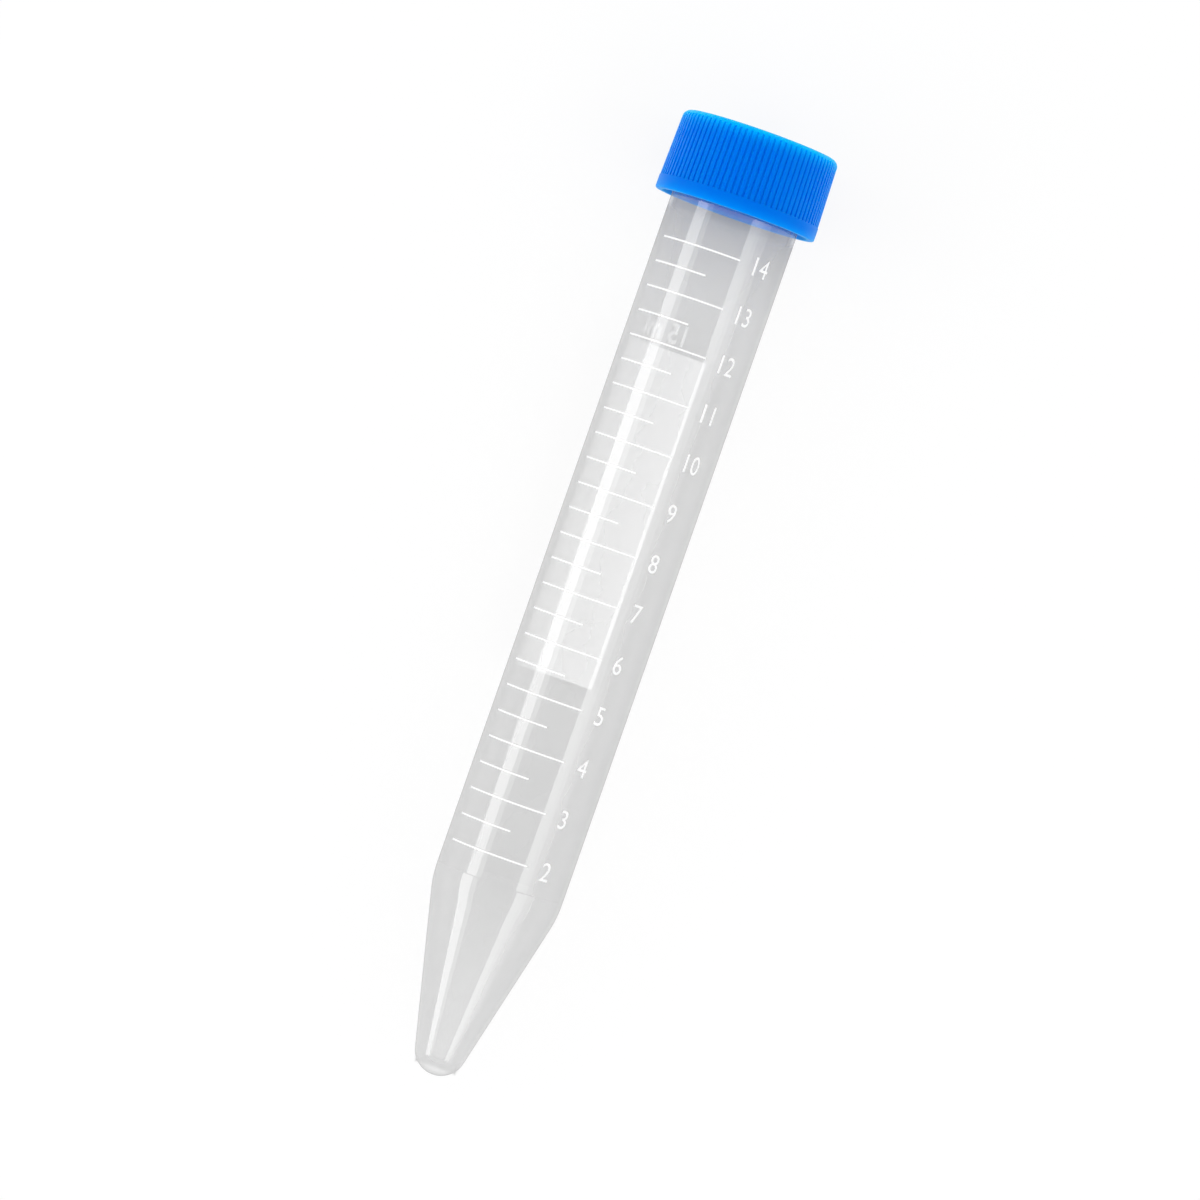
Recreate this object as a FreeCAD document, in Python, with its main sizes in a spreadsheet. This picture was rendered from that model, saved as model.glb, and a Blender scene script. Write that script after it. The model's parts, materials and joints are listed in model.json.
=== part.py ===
import FreeCAD, Part
import math
import os

import Sketcher

# A 15 ml conical centrifuge tube with its screw cap, lying on its side.
#
# Each piece is drawn upright in its own frame: Z runs up the tube's axis from the
# tip towards the cap, X points out of the graduated front, and angles are counted
# from X towards Y. At the end every piece is laid down together, front side up,
# resting on the cap's lower edge and on the tube's shoulder.

# Driving sizes: millimetres, degrees, and millilitres for the scale.
SIZES = {
    # tube
    "tube_length": 118.0,        # tip to rim
    "barrel_radius": 8.0,        # outside
    "barrel_wall": 0.76,         # at the rim, were the neck not drafted
    "bore_draft": 0.34,          # how much narrower the bore is at the shoulder
    "neck_draft": 0.12,          # how much narrower the neck is at the rim
    "neck_gap": 0.6,             # neck that shows below the cap
    "rim_chamfer": 0.2,
    "shoulder_height": 22.8,     # above the tip
    "shoulder_round": 14.0,
    "tip_radius": 3.2,           # outside of the rounded tip
    "tip_wall": 1.9,             # floor of the tube
    "tip_hollow_radius": 1.4,    # inside of the rounded tip
    # thread
    "thread_pitch": 3.0,
    "thread_turns": 1.5,
    "thread_height": 0.6,
    "thread_foot": 1.3,          # width of a ridge at the wall
    "thread_crest": 0.7,         # width of a ridge at its top
    "thread_root": 0.2,          # how deep a ridge is rooted in its wall
    "thread_start": 1.4,         # first ridge above the cap's lower edge
    "thread_clearance": 0.2,     # crest to the facing wall
    # cap
    "cap_height": 10.15,
    "cap_ceiling": 1.2,
    "cap_wall": 1.33,            # at the plain band
    "cap_draft": 0.22,           # how much narrower the ribbed wall is at its top
    "cap_round": 0.9,            # top edge
    "band_height": 1.7,
    "band_step": 0.06,           # ribs stand this far inside the band
    "band_chamfer": 0.25,
    "mouth_chamfer": 0.4,
    "groove_count": 86,          # grip ribs are what stands between the grooves
    "groove_angle": 1.75,        # width of a groove, around the axis
    "groove_depth": 0.22,
    "groove_gap": 0.5,           # grooves end this far below the cap's top
    "cap_turned": 1.2,           # where the closed cap stops, around the axis
    # seal
    "seal_thickness": 1.0,
    "seal_clearance": 0.1,       # to the cap's wall
    # print
    "ink": 0.05,                 # thickness of the printed layer
    "line_width": 0.22,
    "line_start": -62.0,
    "long_line_span": 80.0,
    "short_line_span": 56.0,
    "scale_step": 0.5,           # millilitres between two lines
    "scale_foot_gap": 3.0,       # lowest line to the shoulder, at least
    "scale_head_gap": 3.0,       # highest line to the cap, at least
    "number_start": 31.5,
    "digit_height": 2.3,
    "digit_width": 1.3,
    "digit_gap": 0.55,
    "digit_stroke": 0.28,
    "panel_start": 159.8,
    "panel_span": 81.5,
    "panel_height": 42.25,
    "panel_drop": 17.2,          # panel's top below the top of the barrel
}

# Sizes that follow from the driving ones, as expressions on the sheet.
CAP_REACH = "(Sizes.cap_height - Sizes.cap_ceiling - Sizes.seal_thickness)"
BARREL_TOP = f"(Sizes.tube_length - {CAP_REACH} - Sizes.neck_gap)"
NECK_RIM_RADIUS = "(Sizes.barrel_radius - Sizes.neck_draft)"
BORE_RADIUS = "(Sizes.barrel_radius - Sizes.barrel_wall)"
SHOULDER_BORE = f"({BORE_RADIUS} - Sizes.bore_draft)"
CAP_BORE = "(Sizes.barrel_radius + Sizes.thread_height + Sizes.thread_clearance)"
BAND_RADIUS = f"({CAP_BORE} + Sizes.cap_wall)"
RIB_RADIUS = f"({BAND_RADIUS} - Sizes.band_step)"
CAP_TOP_RADIUS = f"({RIB_RADIUS} - Sizes.cap_draft)"

# How many flats make up the round of the cap's top edge.
ROUND_FLATS = 3

# The strokes of each digit on a seven-bar frame: bars run a to f clockwise from the
# top, and g crosses the middle.
DIGIT_BARS = {
    "0": "abcdef", "1": "bc", "2": "abdeg", "3": "abcdg", "4": "bcfg",
    "5": "acdfg", "6": "acdefg", "7": "abc", "8": "abcdefg", "9": "abcdfg",
}

doc = FreeCAD.newDocument("conical_tube")


# ---------------------------------------------------------------- sheet and values

def make_sheet():
    """Write the driving sizes to the sheet, one row each, with the name beside."""
    sheet = doc.addObject("Spreadsheet::Sheet", "Sizes")
    for row, (name, size) in enumerate(SIZES.items(), start=1):
        sheet.set(f"A{row}", name)
        sheet.set(f"B{row}", str(size))
        sheet.setAlias(f"B{row}", name)
    doc.recompute()
    return sheet


SHEET = make_sheet()


def value(expression):
    """The number that an expression on the sheet gives."""
    return float(SHEET.evalExpression(str(expression)))


# ------------------------------------------------------------------------- sketches

def new_body(name):
    body = doc.addObject("PartDesign::Body", name)
    body.Label = name
    return body


def new_sketch(body, name, role="XZ_Plane"):
    """A sketch on one of the body's own origin planes."""
    plane = next(o for o in body.Origin.OriginFeatures if o.Role == role)
    sketch = body.newObject("Sketcher::SketchObject", name)
    sketch.AttachmentSupport = [(plane, "")]
    sketch.MapMode = "FlatFace"
    return sketch


def fix(sketch, kind, *where_and_size):
    """Add a dimension and bind it to its expression."""
    *where, expression = where_and_size
    index = sketch.addConstraint(Sketcher.Constraint(kind, *where, value(expression)))
    sketch.setExpression(f"Constraints[{index}]", str(expression))


def draw_polygon(sketch, corners):
    """A closed polygon whose corners are pairs of expressions."""
    points = [FreeCAD.Vector(value(x), value(y), 0) for x, y in corners]
    count = len(points)
    for i in range(count):
        sketch.addGeometry(Part.LineSegment(points[i], points[(i + 1) % count]))
    for i in range(count):
        sketch.addConstraint(Sketcher.Constraint("Coincident", i, 2, (i + 1) % count, 1))
    for i, (x, y) in enumerate(corners):
        fix(sketch, "DistanceX", -1, 1, i, 1, x)
        fix(sketch, "DistanceY", -1, 1, i, 1, y)


def revolve(body, sketch, name):
    turn = body.newObject("PartDesign::Revolution", name)
    turn.Profile = sketch
    turn.ReferenceAxis = (sketch, ["V_Axis"])
    turn.Angle = 360
    sketch.Visibility = False
    return turn


def ring_edges(shape, radius, height):
    """Names of the circular edges of this radius at this height on the axis."""
    return [
        f"Edge{i}"
        for i, edge in enumerate(shape.Edges, start=1)
        if not edge.Degenerated and isinstance(edge.Curve, Part.Circle)
        and abs(edge.Curve.Radius - radius) < 1e-4
        and abs(edge.Curve.Center.z - height) < 1e-4
    ]


def ease_rings(body, kind, name, size, rings):
    """Fillet or chamfer the circular edges given as (radius, height) expressions."""
    doc.recompute()
    base = body.Tip
    found = [n for r, z in rings for n in ring_edges(base.Shape, value(r), value(z))]
    edge = body.newObject(f"PartDesign::{kind}", name)
    edge.Base = (base, found)
    edge.setExpression({"Fillet": "Radius", "Chamfer": "Size"}[kind], size)
    return edge


# ----------------------------------------------------------------------------- tube

def cone_angle(corner_radius, corner_height, ball_radius, ball_height):
    """Half angle of a cone through a corner that is tangent to a ball on the axis."""
    reach = math.hypot(corner_radius, corner_height - ball_height)
    lean = math.atan2(corner_radius, corner_height - ball_height)
    return lean - math.asin(ball_radius / reach)


def draw_tip(sketch, corner_radius, corner_height, ball_radius, foot):
    """A rounded tip and the cone line up to a corner. Returns (arc, line) indices."""
    ball, radius = value(ball_radius), value(corner_radius)
    centre, top = value(foot) + ball, value(corner_height)
    half = cone_angle(radius, top, ball, centre)
    arc = sketch.addGeometry(
        Part.ArcOfCircle(
            Part.Circle(FreeCAD.Vector(0, centre, 0), FreeCAD.Vector(0, 0, 1), ball),
            -math.pi / 2,
            -half,
        )
    )
    touch = FreeCAD.Vector(ball * math.cos(half), centre - ball * math.sin(half), 0)
    line = sketch.addGeometry(Part.LineSegment(touch, FreeCAD.Vector(radius, top, 0)))
    sketch.addConstraint(Sketcher.Constraint("PointOnObject", arc, 3, -2))
    sketch.addConstraint(Sketcher.Constraint("PointOnObject", arc, 1, -2))
    sketch.addConstraint(Sketcher.Constraint("Tangent", arc, 2, line, 1))
    fix(sketch, "Radius", arc, ball_radius)
    fix(sketch, "DistanceY", -1, 1, arc, 3, f"{foot} + {ball_radius}")
    fix(sketch, "DistanceX", -1, 1, line, 2, corner_radius)
    fix(sketch, "DistanceY", -1, 1, line, 2, corner_height)
    return arc, line


def draw_chain(sketch, first, corners):
    """Straight lines from the end of line `first` through further corners."""
    start = sketch.Geometry[first].EndPoint
    for x, y in corners:
        end = FreeCAD.Vector(value(x), value(y), 0)
        line = sketch.addGeometry(Part.LineSegment(start, end))
        sketch.addConstraint(Sketcher.Constraint("Coincident", first, 2, line, 1))
        fix(sketch, "DistanceX", -1, 1, line, 2, x)
        fix(sketch, "DistanceY", -1, 1, line, 2, y)
        first, start = line, end
    return first


def make_tube():
    """The moulded tube: cone, barrel, drafted neck and one threaded ridge."""
    body = new_body("tube")
    outside = new_sketch(body, "outside")
    _, cone = draw_tip(
        outside, "Sizes.barrel_radius", "Sizes.shoulder_height", "Sizes.tip_radius", "0"
    )
    rim = draw_chain(outside, cone, [
        ("Sizes.barrel_radius", BARREL_TOP),
        (NECK_RIM_RADIUS, "Sizes.tube_length"),
        ("0", "Sizes.tube_length"),
    ])
    close_on_axis(outside, rim, 0)
    revolve(body, outside, "wall")
    ease_rings(
        body, "Fillet", "shoulder", "Sizes.shoulder_round",
        [("Sizes.barrel_radius", "Sizes.shoulder_height")],
    )

    hollow = new_sketch(body, "hollow")
    _, cone = draw_tip(
        hollow, SHOULDER_BORE, "Sizes.shoulder_height", "Sizes.tip_hollow_radius",
        "Sizes.tip_wall",
    )
    rim = draw_chain(hollow, cone, [
        (BORE_RADIUS, "Sizes.tube_length"),
        ("0", "Sizes.tube_length"),
    ])
    close_on_axis(hollow, rim, 0)
    bore = body.newObject("PartDesign::Groove", "bore")
    bore.Profile = hollow
    bore.ReferenceAxis = (hollow, ["V_Axis"])
    bore.Angle = 360
    ease_rings(
        body, "Chamfer", "rim", "Sizes.rim_chamfer",
        [(NECK_RIM_RADIUS, "Sizes.tube_length"), (BORE_RADIUS, "Sizes.tube_length")],
    )
    add_thread(
        body, "neck_thread",
        foot=f"({NECK_RIM_RADIUS} - Sizes.thread_root)",
        crest="(Sizes.barrel_radius + Sizes.thread_height)",
        start=f"(Sizes.tube_length - {CAP_REACH} + Sizes.thread_start)",
    )
    return body


def close_on_axis(sketch, last, first):
    """Close a half section with a line down the axis, from `last` back to `first`."""
    top = sketch.Geometry[last].EndPoint
    line = sketch.addGeometry(Part.LineSegment(top, sketch.Geometry[first].StartPoint))
    sketch.addConstraint(Sketcher.Constraint("Coincident", last, 2, line, 1))
    sketch.addConstraint(Sketcher.Constraint("Coincident", line, 2, first, 1))


def add_thread(body, name, foot, crest, start):
    """One helical ridge with sloping flanks, from radius `foot` to radius `crest`."""
    sketch = new_sketch(body, name + "_flanks")
    draw_polygon(sketch, [
        (foot, f"{start} - Sizes.thread_foot / 2"),
        (crest, f"{start} - Sizes.thread_crest / 2"),
        (crest, f"{start} + Sizes.thread_crest / 2"),
        (foot, f"{start} + Sizes.thread_foot / 2"),
    ])
    doc.recompute()
    ridge = body.newObject("PartDesign::AdditiveHelix", name)
    ridge.Profile = sketch
    ridge.ReferenceAxis = (sketch, ["V_Axis"])
    ridge.Mode = "pitch-turns-angle"
    ridge.setExpression("Pitch", "Sizes.thread_pitch")
    ridge.setExpression("Turns", "Sizes.thread_turns")
    sketch.Visibility = False
    doc.recompute()
    return ridge


# ------------------------------------------------------------------------------ cap

def top_edge_corners():
    """Corners of the flats that round the cap's top edge, from the wall up."""
    corners = []
    for step in range(ROUND_FLATS + 1):
        angle = 90 * step / ROUND_FLATS
        corners.append((
            f"({CAP_TOP_RADIUS} - Sizes.cap_round * (1 - cos({angle} deg)))",
            f"(Sizes.cap_height - Sizes.cap_round * (1 - sin({angle} deg)))",
        ))
    return corners


def make_cap():
    """The ribbed screw cap, drawn with its lower edge at height 0."""
    body = new_body("cap")
    shell = new_sketch(body, "shell")
    ceiling = "(Sizes.cap_height - Sizes.cap_ceiling)"
    draw_polygon(shell, [
        (f"({CAP_BORE} + Sizes.mouth_chamfer)", "0"),
        (f"({BAND_RADIUS} - Sizes.band_chamfer)", "0"),
        (BAND_RADIUS, "Sizes.band_chamfer"),
        (BAND_RADIUS, "Sizes.band_height"),
        (RIB_RADIUS, "Sizes.band_height"),
        *top_edge_corners(),
        ("0", "Sizes.cap_height"),
        ("0", ceiling),
        (CAP_BORE, ceiling),
        (CAP_BORE, "Sizes.mouth_chamfer"),
    ])
    revolve(body, shell, "shell_turn")
    add_thread(
        body, "cap_thread",
        foot=f"(-1 * ({CAP_BORE} + Sizes.thread_root))",
        crest=f"(-1 * ({CAP_BORE} - Sizes.thread_height))",
        start="Sizes.thread_start",
    )
    cut_grooves(body)
    return body


def cut_grooves(body):
    """The fine grooves between the grip ribs, from the band up to the top edge."""
    sketch = new_sketch(body, "groove_side")
    end = "(Sizes.cap_height - Sizes.groove_gap)"
    outside = f"({RIB_RADIUS} + Sizes.band_step / 2)"
    draw_polygon(sketch, [
        (f"({RIB_RADIUS} - Sizes.groove_depth)", "Sizes.band_height"),
        (outside, "Sizes.band_height"),
        (outside, end),
        (f"({CAP_TOP_RADIUS} - Sizes.groove_depth)", end),
    ])
    groove = body.newObject("PartDesign::Groove", "groove")
    groove.Profile = sketch
    groove.ReferenceAxis = (sketch, ["V_Axis"])
    groove.setExpression("Angle", "Sizes.groove_angle")
    sketch.Visibility = False
    doc.recompute()
    ring = body.newObject("PartDesign::PolarPattern", "grooves")
    ring.Originals = [groove]
    ring.Axis = (sketch, ["V_Axis"])
    ring.Angle = 360
    ring.setExpression("Occurrences", "Sizes.groove_count")
    body.Tip = ring
    doc.recompute()


def make_seal():
    """The flat seal inside the cap, drawn with its lower face at height 0."""
    body = new_body("seal_disc")
    edge = f"({CAP_BORE} - Sizes.seal_clearance)"
    sketch = new_sketch(body, "half_section")
    draw_polygon(sketch, [
        ("0", "0"), (edge, "0"),
        (edge, "Sizes.seal_thickness"), ("0", "Sizes.seal_thickness"),
    ])
    revolve(body, sketch, "disc")
    return body


# ---------------------------------------------------------------------------- print

def height_of(volume):
    """Height of the liquid's surface in the barrel, for a volume in cubic mm."""
    ball, foot = value("Sizes.tip_hollow_radius"), value("Sizes.tip_wall")
    corner, corner_height = value(SHOULDER_BORE), value("Sizes.shoulder_height")
    half = cone_angle(corner, corner_height, ball, foot + ball)
    touch_radius = ball * math.cos(half)
    dome = ball * (1 - math.sin(half))
    tip = math.pi * dome**2 * (ball - dome / 3)
    cone = (
        math.pi / 3 * (corner_height - foot - dome)
        * (corner**2 + corner * touch_radius + touch_radius**2)
    )
    slope = value("Sizes.bore_draft") / (value("Sizes.tube_length") - corner_height)
    cubed = corner**3 + 3 * slope * (volume - tip - cone) / math.pi
    return corner_height + (cubed ** (1 / 3) - corner) / slope


def scale_marks():
    """(millilitres, height) of each line of the scale, from the lowest up."""
    lowest = value("Sizes.shoulder_height + Sizes.scale_foot_gap")
    highest = value(f"{BARREL_TOP} - Sizes.scale_head_gap")
    step = value("Sizes.scale_step")
    marks = []
    count = 1
    while height_of(1000 * step * count) < highest:
        if height_of(1000 * step * count) > lowest:
            marks.append((step * count, height_of(1000 * step * count)))
        count += 1
    return marks


def ink_patch(start, span, foot, height):
    """A patch of ink on the barrel: angles in degrees, heights in millimetres."""
    inner, outer = value("Sizes.barrel_radius"), value("Sizes.barrel_radius + Sizes.ink")
    corners = [
        FreeCAD.Vector(inner, 0, foot),
        FreeCAD.Vector(outer, 0, foot),
        FreeCAD.Vector(outer, 0, foot + height),
        FreeCAD.Vector(inner, 0, foot + height),
    ]
    face = Part.Face(Part.makePolygon(corners + corners[:1]))
    axis = FreeCAD.Vector(0, 0, 1)
    face.rotate(FreeCAD.Vector(0, 0, 0), axis, start)
    return face.revolve(FreeCAD.Vector(0, 0, 0), axis, span)


def print_node(name, patches):
    """A node of separate ink patches."""
    node = doc.addObject("Part::Feature", name)
    node.Label = name
    node.Shape = Part.makeCompound(patches)
    return node


def make_scale_lines():
    """A long line at each whole millilitre and a short one halfway between."""
    width, start = value("Sizes.line_width"), value("Sizes.line_start")
    patches = []
    for volume, height in scale_marks():
        whole = abs(volume - round(volume)) < 1e-9
        span = value("Sizes.long_line_span" if whole else "Sizes.short_line_span")
        patches.append(ink_patch(start, span, height - width / 2, width))
    return print_node("scale_lines", patches)


def digit_patch(digit, start, foot):
    """One digit, from its left edge (an angle) and its foot (a height)."""
    degrees = math.degrees(1 / value("Sizes.barrel_radius"))
    tall, wide = value("Sizes.digit_height"), value("Sizes.digit_width")
    stroke = value("Sizes.digit_stroke")
    across, up = wide * degrees, (tall + stroke) / 2
    thin, right = stroke * degrees, start + (wide - stroke) * degrees
    bars = {
        "a": (start, across, foot + tall - stroke, stroke),
        "b": (right, thin, foot + tall - up, up),
        "c": (right, thin, foot, up),
        "d": (start, across, foot, stroke),
        "e": (start, thin, foot, up),
        "f": (start, thin, foot + tall - up, up),
        "g": (start, across, foot + (tall - stroke) / 2, stroke),
    }
    first, *others = [ink_patch(*bars[name]) for name in DIGIT_BARS[digit]]
    return first.multiFuse(others).removeSplitter()


def make_scale_numbers():
    """The whole millilitres, each level with its line."""
    advance = math.degrees(
        value("(Sizes.digit_width + Sizes.digit_gap) / Sizes.barrel_radius")
    )
    patches = []
    for volume, height in scale_marks():
        if abs(volume - round(volume)) > 1e-9:
            continue
        foot = height - value("Sizes.digit_height") / 2
        for place, digit in enumerate(str(round(volume))):
            start = value("Sizes.number_start") + place * advance
            patches.append(digit_patch(digit, start, foot))
    return print_node("scale_numbers", patches)


def make_writing_panel():
    """The plain white field for notes, on the back of the barrel."""
    body = new_body("writing_panel")
    sketch = new_sketch(body, "ink_section")
    top = f"({BARREL_TOP} - Sizes.panel_drop)"
    foot = f"({top} - Sizes.panel_height)"
    outer = "(Sizes.barrel_radius + Sizes.ink)"
    draw_polygon(sketch, [
        ("Sizes.barrel_radius", foot), (outer, foot),
        (outer, top), ("Sizes.barrel_radius", top),
    ])
    field = revolve(body, sketch, "field")
    field.setExpression("Angle", "Sizes.panel_span")
    return body


# ---------------------------------------------------------------------- lying down

def resting_tilt():
    """(tilt in radians, drop of the axis) of the tube lying on cap and shoulder.

    The floor touches the cap's band above its chamfer, and the round of the tube's
    shoulder. The drop is how far the tip end of the axis is above the floor.
    """
    half = cone_angle(
        value("Sizes.barrel_radius"), value("Sizes.shoulder_height"),
        value("Sizes.tip_radius"), value("Sizes.tip_radius"),
    )
    round_radius = value("Sizes.shoulder_round")
    shoulder_z = value("Sizes.shoulder_height") + round_radius * math.tan(half / 2)
    shoulder_r = value("Sizes.barrel_radius") - round_radius
    along = value(f"Sizes.tube_length - {CAP_REACH} + Sizes.band_chamfer") - shoulder_z
    across = value(BAND_RADIUS) - shoulder_r
    tilt = math.atan2(across, along) - math.asin(round_radius / math.hypot(along, across))
    drop = shoulder_r * math.cos(tilt) - shoulder_z * math.sin(tilt) + round_radius
    return tilt, drop


def lying_placement():
    """Where the upright frame goes: front up, cap towards +X, centred on the origin."""
    tilt, drop = resting_tilt()
    top_radius = value(f"{CAP_TOP_RADIUS} - Sizes.cap_round")
    top_height = value(f"Sizes.tube_length - {CAP_REACH} + Sizes.cap_height")
    cap_end = top_radius * math.sin(tilt) + top_height * math.cos(tilt)
    tip_end = value("Sizes.tip_radius") * (math.cos(tilt) - 1)
    spin = FreeCAD.Rotation(
        FreeCAD.Vector(-math.sin(tilt), 0, math.cos(tilt)),
        FreeCAD.Vector(0, -1, 0),
        FreeCAD.Vector(math.cos(tilt), 0, math.sin(tilt)),
        "ZXY",
    )
    return FreeCAD.Placement(FreeCAD.Vector(-(cap_end + tip_end) / 2, 0, drop), spin)


def raised(height, turned=0.0):
    """A shift up the axis, and a turn about it, in the upright frame."""
    return FreeCAD.Placement(
        FreeCAD.Vector(0, 0, height),
        FreeCAD.Rotation(FreeCAD.Vector(0, 0, 1), turned),
    )


def check(nodes):
    """Stop if any object failed or any piece has no valid shape."""
    for item in doc.Objects:
        if "Invalid" in item.State or "Error" in item.State:
            raise RuntimeError(f"{item.Label} failed: {item.State}")
    for node in nodes:
        if node.Shape.isNull() or not node.Shape.isValid():
            raise RuntimeError(f"{node.Label} has no valid shape")


def main():
    upright = {
        make_tube(): raised(0),
        make_cap(): raised(
            value(f"Sizes.tube_length - {CAP_REACH}"), value("Sizes.cap_turned")
        ),
        make_seal(): raised(value("Sizes.tube_length")),
        make_scale_lines(): raised(0),
        make_scale_numbers(): raised(0),
        make_writing_panel(): raised(0, value("Sizes.panel_start")),
    }
    laid = lying_placement()
    for node, place in upright.items():
        node.Placement = laid.multiply(place)
    doc.recompute()
    check(upright)
    os.makedirs("parts", exist_ok=True)
    for node in upright:
        node.Shape.exportStep(f"parts/{node.Label}.step")
        print(f"{node.Label}: {len(node.Shape.Solids)} solids, {node.Shape.Volume:.1f} mm3")


main()
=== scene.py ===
"""Studio scene of a capped 15 ml conical tube lying on a pale floor.

Each piece is modelled upright, in millimetres: Z runs up the tube's axis from the tip
towards the cap, X points out of the graduated front, and angles are counted from X
towards Y. LyingPlace then lays every piece down in the part's own frame, in metres.
"""

from __future__ import annotations

import json
import logging
import math
from collections.abc import Callable
from dataclasses import dataclass, field
from enum import Enum

import bmesh
import bpy
from mathutils import Matrix, Vector

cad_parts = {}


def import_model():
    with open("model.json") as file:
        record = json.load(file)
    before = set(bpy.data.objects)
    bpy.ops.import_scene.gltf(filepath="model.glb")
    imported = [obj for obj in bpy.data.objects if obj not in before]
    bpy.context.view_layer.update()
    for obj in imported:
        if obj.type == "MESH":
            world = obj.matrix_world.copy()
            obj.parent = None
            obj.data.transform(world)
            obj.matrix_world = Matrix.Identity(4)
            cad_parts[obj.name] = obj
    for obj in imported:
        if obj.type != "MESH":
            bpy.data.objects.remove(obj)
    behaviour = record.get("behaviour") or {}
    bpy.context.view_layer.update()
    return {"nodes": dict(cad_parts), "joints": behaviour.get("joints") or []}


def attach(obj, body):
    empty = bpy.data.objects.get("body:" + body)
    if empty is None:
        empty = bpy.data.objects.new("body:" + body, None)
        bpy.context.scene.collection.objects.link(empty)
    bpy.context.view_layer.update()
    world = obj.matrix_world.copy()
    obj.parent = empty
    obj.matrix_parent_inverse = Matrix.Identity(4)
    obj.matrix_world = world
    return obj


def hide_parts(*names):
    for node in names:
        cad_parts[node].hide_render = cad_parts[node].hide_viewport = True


LOG = logging.getLogger("conical_tube")

Point = tuple[float, float]
Span = tuple[float, float]
Scale = tuple[float, float, float]
Colour = tuple[float, float, float]
Socket = bpy.types.NodeSocket

METRE = 0.001  # one millimetre of modelling, in the frame's metres
SEAT_HEIGHT = 110.05  # the closed cap's lower edge above the tip
WELD = 1e-5  # vertices nearer to each other than this are merged
NEAR = 1e-4  # how near a vertex has to be to the place where it is looked for
TINY = 1e-6  # less than this counts as nothing


class Body(Enum):
    """The bodies that the new pieces ride on, as the frame names them."""

    TUBE = "tube"
    CAP = "cap"


class Slot(Enum):
    """The record's material slots that the new pieces take."""

    CLEAR = "clear_plastic"
    BLUE = "blue_plastic"
    INK = "white_ink"


# ---------------- working by hand


def deselect() -> None:
    """Leave edit mode and select nothing."""
    if bpy.context.object is not None and bpy.context.object.mode != "OBJECT":
        bpy.ops.object.mode_set(mode="OBJECT")
    bpy.ops.object.select_all(action="DESELECT")


def activate(obj: bpy.types.Object) -> None:
    """Select one object alone and make it the active one.

    Args:
        obj: The object to work on.
    """
    deselect()
    obj.select_set(True)
    bpy.context.view_layer.objects.active = obj


def settle() -> None:
    """Move the active object's place, turn and scale into its mesh."""
    bpy.ops.object.transform_apply(location=True, rotation=True, scale=True)


def edit(obj: bpy.types.Object) -> None:
    """Enter edit mode on one object with nothing selected.

    Args:
        obj: The object to edit.
    """
    activate(obj)
    bpy.ops.object.mode_set(mode="EDIT")
    bpy.ops.mesh.select_all(action="DESELECT")


def pick_verts(test: Callable[[Vector], bool]) -> None:
    """Select, in edit mode, the vertices whose place passes a test.

    Args:
        test: Takes a vertex's place and says whether it is wanted.
    """
    bpy.ops.mesh.select_mode(type="VERT")
    mesh = bmesh.from_edit_mesh(bpy.context.object.data)
    for vert in mesh.verts:
        vert.select_set(test(vert.co))
    mesh.select_flush_mode()
    bmesh.update_edit_mesh(bpy.context.object.data)


def pick_faces(test: Callable[[Vector], bool]) -> None:
    """Select, in edit mode, the faces whose centre passes a test.

    Args:
        test: Takes a face's centre and says whether it is wanted.
    """
    bpy.ops.mesh.select_mode(type="FACE")
    mesh = bmesh.from_edit_mesh(bpy.context.object.data)
    for face in mesh.faces:
        face.select_set(test(face.calc_center_median()))
    bmesh.update_edit_mesh(bpy.context.object.data)


def outward() -> None:
    """Merge doubles and turn all faces outwards, in edit mode."""
    bpy.ops.mesh.select_all(action="SELECT")
    bpy.ops.mesh.remove_doubles(threshold=WELD)
    bpy.ops.mesh.normals_make_consistent(inside=False)


def apply_modifiers(obj: bpy.types.Object) -> None:
    """Apply every modifier of an object, from the first to the last.

    Args:
        obj: The object whose modifiers are applied.
    """
    activate(obj)
    for modifier in list(obj.modifiers):
        bpy.ops.object.modifier_apply(modifier=modifier.name)


def smooth(obj: bpy.types.Object, angle: float) -> None:
    """Shade an object smooth where its faces meet at less than an angle.

    Args:
        obj: The object to shade.
        angle: The largest smooth angle, in degrees.
    """
    activate(obj)
    bpy.ops.object.shade_smooth_by_angle(angle=math.radians(angle))


def arc(
    centre: Point, radius: float, start: float, end: float, steps: int
) -> list[Point]:
    """Points along an arc of a half section.

    Args:
        centre: The arc's centre, as (distance from the axis, height).
        radius: The arc's radius.
        start: First angle in degrees, from the outward direction towards the cap.
        end: Last angle in degrees.
        steps: How many spans the arc has.

    Returns:
        The points from the start to the end, both included.
    """
    points = []
    for step in range(steps + 1):
        angle = math.radians(start + (end - start) * step / steps)
        points.append(
            (centre[0] + radius * math.cos(angle), centre[1] + radius * math.sin(angle))
        )
    return points


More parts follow.
